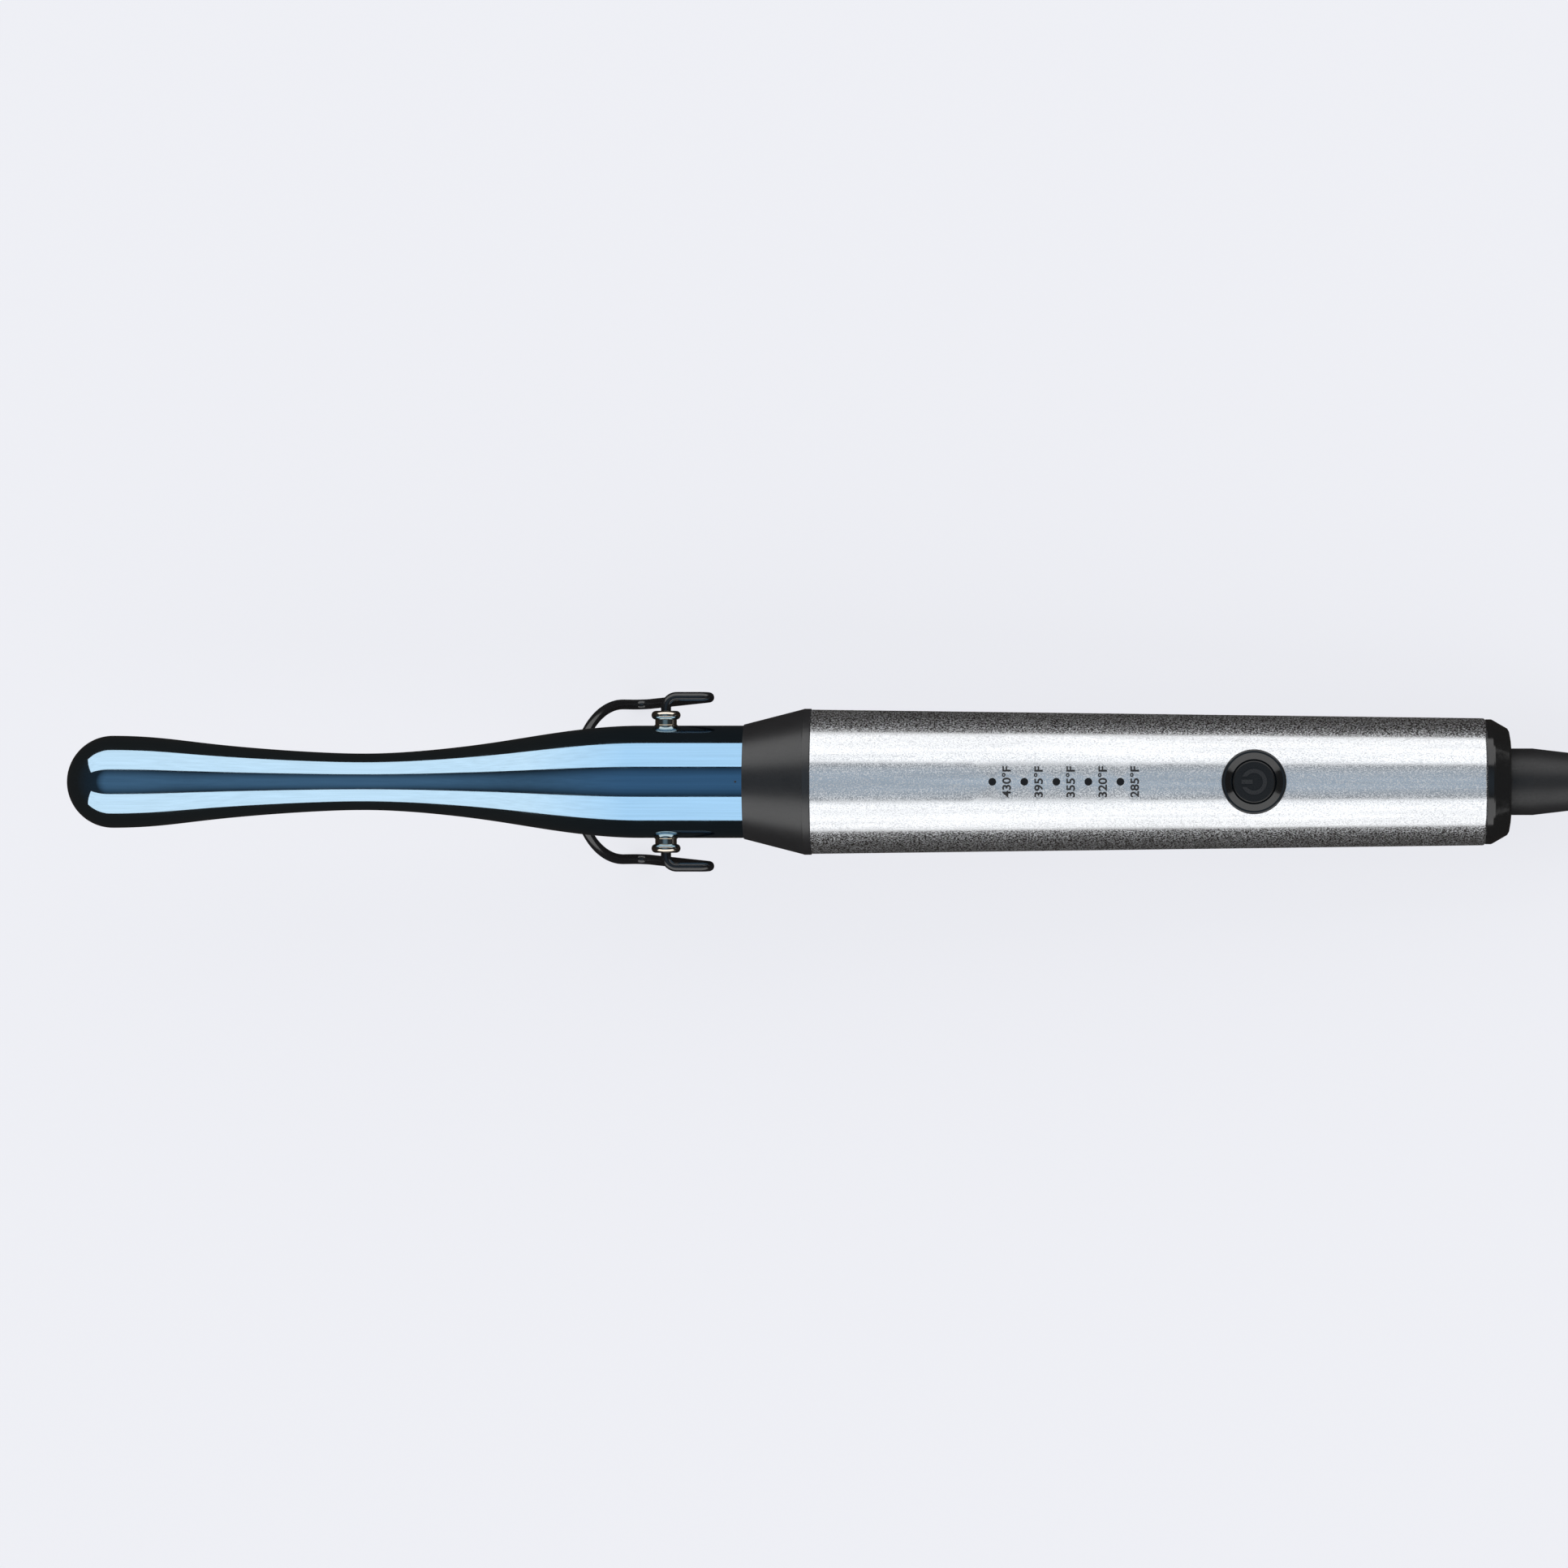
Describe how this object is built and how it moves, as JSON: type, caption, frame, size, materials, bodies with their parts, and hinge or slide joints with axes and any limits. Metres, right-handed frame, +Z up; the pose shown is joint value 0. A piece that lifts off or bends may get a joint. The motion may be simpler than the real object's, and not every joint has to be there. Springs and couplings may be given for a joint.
{
  "type": "curling iron",
  "caption": "Hair curling iron with an hourglass mirror-finish barrel, fold-out wire stand, brushed metal handle, power button, temperature lights and a swivel mains cord.",
  "frame": {"origin": "on the table under the middle of the iron without its cord", "axes": "+X from the barrel's tip to the cord, +Y across the iron, +Z up, button side up"},
  "size_m": [0.583, 0.054, 0.0548],
  "materials": {
    "titanium_barrel": "mirror-polished blue titanium",
    "bright_nickel": "bright nickel plate",
    "black_wire": "satin black oxide",
    "matte_black": "fine matte moulding",
    "brushed_aluminium": "lengthwise satin brushing, clear anodised",
    "gloss_black": "gloss moulding",
    "boot_rubber": "matte",
    "cord_rubber": "satin",
    "plug_rubber": "matte moulded",
    "tie_fabric": "hook-and-loop strap",
    "window_smoke": "smoked clear",
    "led_clear": "clear",
    "ceramic_white": "fired alumina",
    "spreader_aluminium": "as extruded",
    "spring_steel": "spring temper",
    "screw_steel": "zinc plated",
    "contact_brass": "plain",
    "lead_silicone": "glass-braid silicone insulation",
    "inner_plastic": "heat-resistant glass-filled moulding",
    "component_black": "moulded package",
    "component_blue": "dipped",
    "board_green": "solder mask"
  },
  "bodies": {
    "iron": {"barrel_shell": "titanium_barrel", "barrel_screws": "screw_steel", "barrel_seat_ring": "ceramic_white", "barrel_end_disc": "ceramic_white", "heater_rod": "ceramic_white", "rod_centring_spring": "spring_steel", "heat_spreader_upper": "spreader_aluminium", "heat_spreader_lower": "spreader_aluminium", "spreader_clip": "spring_steel", "thermistor": "component_black", "thermal_fuse": "screw_steel", "heater_leads": "lead_silicone", "sensor_leads": "lead_silicone", "stand_ferrule_left": "bright_nickel", "stand_ferrule_right": "bright_nickel", "ferrule_washers": "screw_steel", "nose_collar": "matte_black", "handle_sleeve": "brushed_aluminium", "chassis_upper": "inner_plastic", "chassis_lower": "inner_plastic", "chassis_screws": "screw_steel", "control_board": "board_green", "board_screws": "screw_steel", "microcontroller": "component_black", "triac": "component_black", "capacitor": "component_blue", "input_fuse": "component_black", "dropping_resistor": "component_blue", "indicator_leds": "led_clear", "light_pipes": "window_smoke", "button_bezel": "gloss_black", "switch_body": "component_black", "end_cap": "gloss_black", "brush_holder": "inner_plastic", "contact_brushes": "contact_brass", "mains_leads": "lead_silicone", "cord_lead": "cord_rubber", "cord_hank": "cord_rubber", "hank_tie": "tie_fabric", "cord_plug_lead": "cord_rubber", "plug_body": "plug_rubber", "plug_blades": "contact_brass"},
    "stand": {"stand_wire": "black_wire"},
    "button": {"power_button": "matte_black", "switch_plunger": "inner_plastic"},
    "swivel": {"swivel_rotor": "inner_plastic", "slip_rings": "contact_brass", "swivel_circlip": "spring_steel", "cord_boot": "boot_rubber", "cord_tail": "cord_rubber"}
  },
  "joints": [
    {"name": "stand_swing", "type": "hinge", "parent": "iron", "child": "stand", "pos_m": [-0.04454, 0, 0.03211], "axis": [0, -1, 0], "range_deg": [0, 85]},
    {"name": "button_press", "type": "slide", "parent": "iron", "child": "button", "axis": [-0.0972, 0, -0.9953], "range_m": [0, 0.0005], "stiffness_N_per_m": 1500, "springref_m": -0.0003},
    {"name": "cord_swivel", "type": "hinge", "parent": "iron", "child": "swivel", "pos_m": [0.13849, 0, 0.01424], "axis": [0.9953, 0, -0.0972], "continuous": true}
  ]
}
